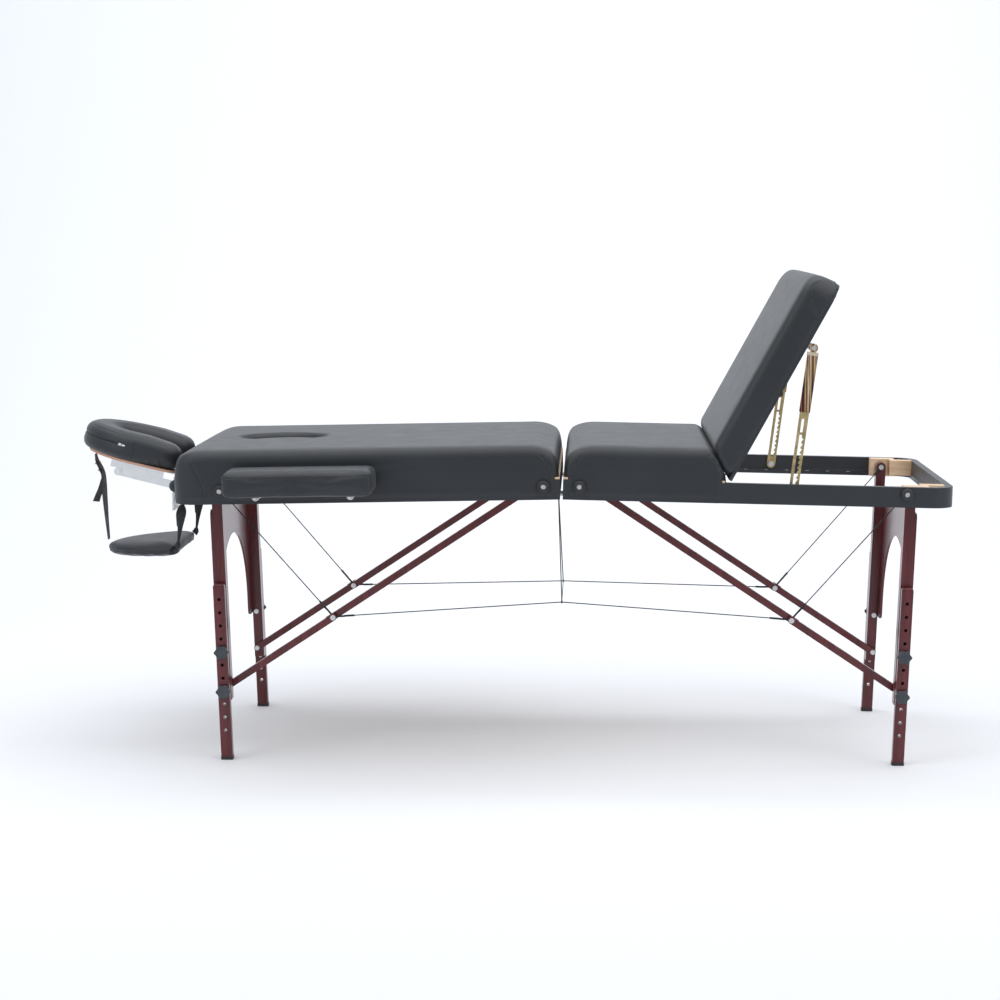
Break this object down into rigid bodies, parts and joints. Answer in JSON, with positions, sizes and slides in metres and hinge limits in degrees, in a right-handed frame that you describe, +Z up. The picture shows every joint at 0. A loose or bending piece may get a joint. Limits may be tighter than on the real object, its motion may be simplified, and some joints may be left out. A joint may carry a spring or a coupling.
{
  "type": "massage_table",
  "caption": "Three-section portable massage table on folding stained wooden legs, with raised backrest, face cradle, hanging arm sling and plug-in armrests.",
  "frame": {"origin": "on the floor, under the middle of the overall length and width", "axes": "+X from the head end to the foot end, +Y to the far side, +Z up"},
  "size_m": [2.1425, 0.984, 1.1776],
  "materials": {
    "black_vinyl": "satin",
    "vinyl_wrapped_rail": "satin",
    "plain_plywood": "matte",
    "stained_wood": "gloss",
    "black_rubber": "matte",
    "black_plastic": "matte",
    "handle_plastic": "matte",
    "zinc_steel": "satin",
    "brass_steel": "gloss",
    "aluminium": "satin",
    "coated_cable": "satin",
    "black_webbing": "matte"
  },
  "bodies": {
    "head_half": {"head_frame_rails": "vinyl_wrapped_rail", "head_corner_blocks": "plain_plywood", "head_deck": "plain_plywood", "head_pad": "black_vinyl", "head_bumpers": "black_rubber", "head_hardware": "zinc_steel", "head_carry_handle": "handle_plastic"},
    "hinge_pins": {"centre_hinge_pins": "zinc_steel"},
    "foot_half": {"foot_frame_rails": "vinyl_wrapped_rail", "foot_corner_blocks": "plain_plywood", "seat_deck": "plain_plywood", "seat_pad": "black_vinyl", "foot_bumpers": "black_rubber", "foot_hardware": "zinc_steel", "foot_carry_handle": "handle_plastic"},
    "face_plug": {"face_hole_plug": "black_vinyl"},
    "backrest": {"backrest_board": "plain_plywood", "backrest_pad": "black_vinyl", "backrest_brackets": "zinc_steel"},
    "stay_plates": {"stay_ratchet_plates": "brass_steel"},
    "stay_channel_pair": {"stay_channels": "brass_steel"},
    "drop_cable_pair": {"drop_cables": "coated_cable"},
    "cradle": {"cradle_base": "aluminium"},
    "cradle_arm_pair": {"cradle_arms": "aluminium"},
    "cradle_head": {"cradle_platform": "plain_plywood", "face_cushion": "black_vinyl"},
    "cradle_clamp": {"cradle_knob": "black_plastic"},
    "arm_sling": {"arm_sling_pad": "black_vinyl", "sling_rear_straps": "black_webbing", "sling_front_strap": "black_webbing"},
    "near_armrest": {"armrest_near": "black_vinyl"},
    "far_armrest": {"armrest_far": "black_vinyl"},
    "head_legs": {"head_leg_posts": "stained_wood", "head_leg_panel": "stained_wood"},
    "head_upper_strut_pair": {"head_upper_struts": "stained_wood"},
    "head_lower_strut_pair": {"head_lower_struts": "stained_wood"},
    "head_end_cable_pair": {"head_end_cables": "coated_cable"},
    "head_cross_cable_pair": {"head_cross_cables": "coated_cable"},
    "head_near_extension": {"head_near_leg_extension": "stained_wood", "head_near_rubber_foot": "black_rubber"},
    "head_near_upper_knob_body": {"head_near_upper_knob": "black_plastic"},
    "head_near_lower_knob_body": {"head_near_lower_knob": "black_plastic"},
    "head_far_extension": {"head_far_leg_extension": "stained_wood", "head_far_rubber_foot": "black_rubber"},
    "head_far_upper_knob_body": {"head_far_upper_knob": "black_plastic"},
    "head_far_lower_knob_body": {"head_far_lower_knob": "black_plastic"},
    "foot_legs": {"foot_leg_posts": "stained_wood", "foot_leg_panel": "stained_wood"},
    "foot_upper_strut_pair": {"foot_upper_struts": "stained_wood"},
    "foot_lower_strut_pair": {"foot_lower_struts": "stained_wood"},
    "foot_end_cable_pair": {"foot_end_cables": "coated_cable"},
    "foot_cross_cable_pair": {"foot_cross_cables": "coated_cable"},
    "foot_near_extension": {"foot_near_leg_extension": "stained_wood", "foot_near_rubber_foot": "black_rubber"},
    "foot_near_upper_knob_body": {"foot_near_upper_knob": "black_plastic"},
    "foot_near_lower_knob_body": {"foot_near_lower_knob": "black_plastic"},
    "foot_far_extension": {"foot_far_leg_extension": "stained_wood", "foot_far_rubber_foot": "black_rubber"},
    "foot_far_upper_knob_body": {"foot_far_upper_knob": "black_plastic"},
    "foot_far_lower_knob_body": {"foot_far_lower_knob": "black_plastic"}
  },
  "joints": [
    {"name": "fold_first", "type": "hinge", "parent": "head_half", "child": "hinge_pins", "pos_m": [0.13855, 0, 0.6405], "axis": [0, 1, 0], "range_deg": [0, 90], "deforming": ["head_end_cables", "foot_end_cables", "head_cross_cables", "foot_cross_cables", "drop_cables"]},
    {"name": "fold_close", "type": "hinge", "parent": "hinge_pins", "child": "foot_half", "pos_m": [0.13855, 0, 0.6405], "axis": [0, 1, 0], "range_deg": [0, 80]},
    {"name": "head_leg_fold", "type": "hinge", "parent": "head_half", "child": "head_legs", "pos_m": [-0.68964, 0, 0.6571], "axis": [0, -1, 0], "range_deg": [0, 89.1]},
    {"name": "head_upper_strut_fold", "type": "hinge", "parent": "head_half", "child": "head_upper_strut_pair", "pos_m": [0.07605, 0, 0.6658], "axis": [0, -1, 0], "range_deg": [-33.88, 0]},
    {"name": "head_lower_strut_fold", "type": "hinge", "parent": "head_legs", "child": "head_lower_strut_pair", "pos_m": [-0.67535, 0, 0.1689], "axis": [0, -1, 0], "range_deg": [0, 57.02]},
    {"name": "head_end_cable_slack", "type": "hinge", "parent": "head_half", "child": "head_end_cable_pair", "pos_m": [-0.68964, 0, 0.6571], "axis": [0, -1, 0], "range_deg": [0, 48.16]},
    {"name": "head_cross_cable_slack", "type": "hinge", "parent": "head_upper_strut_pair", "child": "head_cross_cable_pair", "pos_m": [-0.41531, 0, 0.34086], "axis": [0, -1, 0], "range_deg": [0, 30.38]},
    {"name": "head_near_leg_height", "type": "slide", "parent": "head_legs", "child": "head_near_extension", "axis": [-0.0349, 0, 0.9994], "range_m": [-0.096, 0.096]},
    {"name": "head_near_upper_knob_turn", "type": "hinge", "parent": "head_legs", "child": "head_near_upper_knob_body", "pos_m": [-0.6787, 0, 0.26484], "axis": [0, -1, 0], "continuous": true},
    {"name": "head_near_lower_knob_turn", "type": "hinge", "parent": "head_legs", "child": "head_near_lower_knob_body", "pos_m": [-0.67535, 0, 0.1689], "axis": [0, -1, 0], "continuous": true},
    {"name": "head_far_leg_height", "type": "slide", "parent": "head_legs", "child": "head_far_extension", "axis": [-0.0349, 0, 0.9994], "range_m": [-0.096, 0.096]},
    {"name": "head_far_upper_knob_turn", "type": "hinge", "parent": "head_legs", "child": "head_far_upper_knob_body", "pos_m": [-0.6787, 0, 0.26484], "axis": [0, 1, 0], "continuous": true},
    {"name": "head_far_lower_knob_turn", "type": "hinge", "parent": "head_legs", "child": "head_far_lower_knob_body", "pos_m": [-0.67535, 0, 0.1689], "axis": [0, 1, 0], "continuous": true},
    {"name": "foot_leg_fold", "type": "hinge", "parent": "foot_half", "child": "foot_legs", "pos_m": [0.96674, 0, 0.6571], "axis": [0, 1, 0], "range_deg": [0, 89.1]},
    {"name": "foot_upper_strut_fold", "type": "hinge", "parent": "foot_half", "child": "foot_upper_strut_pair", "pos_m": [0.20105, 0, 0.6658], "axis": [0, 1, 0], "range_deg": [-33.88, 0]},
    {"name": "foot_lower_strut_fold", "type": "hinge", "parent": "foot_legs", "child": "foot_lower_strut_pair", "pos_m": [0.95245, 0, 0.1689], "axis": [0, 1, 0], "range_deg": [0, 57.02]},
    {"name": "foot_end_cable_slack", "type": "hinge", "parent": "foot_half", "child": "foot_end_cable_pair", "pos_m": [0.96674, 0, 0.6571], "axis": [0, 1, 0], "range_deg": [0, 48.16]},
    {"name": "foot_cross_cable_slack", "type": "hinge", "parent": "foot_upper_strut_pair", "child": "foot_cross_cable_pair", "pos_m": [0.69241, 0, 0.34086], "axis": [0, 1, 0], "range_deg": [0, 30.38]},
    {"name": "foot_near_leg_height", "type": "slide", "parent": "foot_legs", "child": "foot_near_extension", "axis": [0.0349, 0, 0.9994], "range_m": [-0.096, 0.096]},
    {"name": "foot_near_upper_knob_turn", "type": "hinge", "parent": "foot_legs", "child": "foot_near_upper_knob_body", "pos_m": [0.9558, 0, 0.26484], "axis": [0, -1, 0], "continuous": true},
    {"name": "foot_near_lower_knob_turn", "type": "hinge", "parent": "foot_legs", "child": "foot_near_lower_knob_body", "pos_m": [0.95245, 0, 0.1689], "axis": [0, -1, 0], "continuous": true},
    {"name": "foot_far_leg_height", "type": "slide", "parent": "foot_legs", "child": "foot_far_extension", "axis": [0.0349, 0, 0.9994], "range_m": [-0.096, 0.096]},
    {"name": "foot_far_upper_knob_turn", "type": "hinge", "parent": "foot_legs", "child": "foot_far_upper_knob_body", "pos_m": [0.9558, 0, 0.26484], "axis": [0, 1, 0], "continuous": true},
    {"name": "foot_far_lower_knob_turn", "type": "hinge", "parent": "foot_legs", "child": "foot_far_lower_knob_body", "pos_m": [0.95245, 0, 0.1689], "axis": [0, 1, 0], "continuous": true},
    {"name": "drop_cable_slack", "type": "hinge", "parent": "head_half", "child": "drop_cable_pair", "pos_m": [0.13855, 0, 0.6405], "axis": [0, 1, 0], "range_deg": [0, 91]},
    {"name": "backrest_tilt", "type": "hinge", "parent": "foot_half", "child": "backrest", "pos_m": [0.5385, 0, 0.68633], "axis": [0, -1, 0], "range_deg": [-62.5, 0]},
    {"name": "stay_swing", "type": "hinge", "parent": "foot_half", "child": "stay_plates", "pos_m": [0.68501, 0, 0.65901], "axis": [0, -1, 0], "range_deg": [-81.71, 0]},
    {"name": "stay_telescope", "type": "slide", "parent": "stay_plates", "child": "stay_channel_pair", "axis": [0.1249, 0, 0.9922], "range_m": [-0.12447, 0]},
    {"name": "face_plug_lift", "type": "slide", "parent": "head_half", "child": "face_plug", "axis": [-0.0192, 0, 0.9998], "range_m": [0, 0.09]},
    {"name": "cradle_slide", "type": "slide", "parent": "head_half", "child": "cradle", "axis": [-1, 0, 0], "range_m": [0, 0.06]},
    {"name": "cradle_arm_tilt", "type": "hinge", "parent": "cradle", "child": "cradle_arm_pair", "pos_m": [-0.81845, 0, 0.645], "axis": [0, -1, 0], "range_deg": [0, 35], "deforming": ["sling_front_strap", "sling_rear_straps"]},
    {"name": "cradle_head_tilt", "type": "hinge", "parent": "cradle_arm_pair", "child": "cradle_head", "pos_m": [-0.96245, 0, 0.68], "axis": [0, -1, 0], "range_deg": [0, 30]},
    {"name": "cradle_knob_turn", "type": "hinge", "parent": "cradle", "child": "cradle_clamp", "pos_m": [-0.81845, 0, 0.645], "axis": [0, 1, 0], "continuous": true},
    {"name": "sling_swing", "type": "hinge", "parent": "cradle", "child": "arm_sling", "pos_m": [-0.80445, 0, 0.604], "axis": [0, -1, 0], "range_deg": [0, 35]},
    {"name": "near_armrest_pull", "type": "slide", "parent": "head_half", "child": "near_armrest", "axis": [0, -1, 0], "range_m": [0, 0.06]},
    {"name": "far_armrest_pull", "type": "slide", "parent": "head_half", "child": "far_armrest", "axis": [0, 1, 0], "range_m": [0, 0.06]}
  ],
  "couplings": [
    {"joint": "head_leg_fold", "follows": "fold_first", "ratio": 0.99},
    {"joint": "head_upper_strut_fold", "follows": "fold_first", "ratio": -0.37641},
    {"joint": "head_lower_strut_fold", "follows": "fold_first", "ratio": 0.63359},
    {"joint": "head_end_cable_slack", "follows": "fold_first", "ratio": 0.5351},
    {"joint": "head_cross_cable_slack", "follows": "fold_first", "ratio": 0.33752},
    {"joint": "foot_leg_fold", "follows": "fold_first", "ratio": 0.99},
    {"joint": "foot_upper_strut_fold", "follows": "fold_first", "ratio": -0.37641},
    {"joint": "foot_lower_strut_fold", "follows": "fold_first", "ratio": 0.63359},
    {"joint": "foot_end_cable_slack", "follows": "fold_first", "ratio": 0.5351},
    {"joint": "foot_cross_cable_slack", "follows": "fold_first", "ratio": 0.33752},
    {"joint": "drop_cable_slack", "follows": "fold_first", "ratio": 1.0111},
    {"joint": "stay_swing", "follows": "backrest_tilt", "ratio": 1.3073},
    {"joint": "stay_telescope", "follows": "backrest_tilt", "m_per_rad": 0.11411},
    {"joint": "sling_swing", "follows": "cradle_arm_tilt", "ratio": 1}
  ]
}
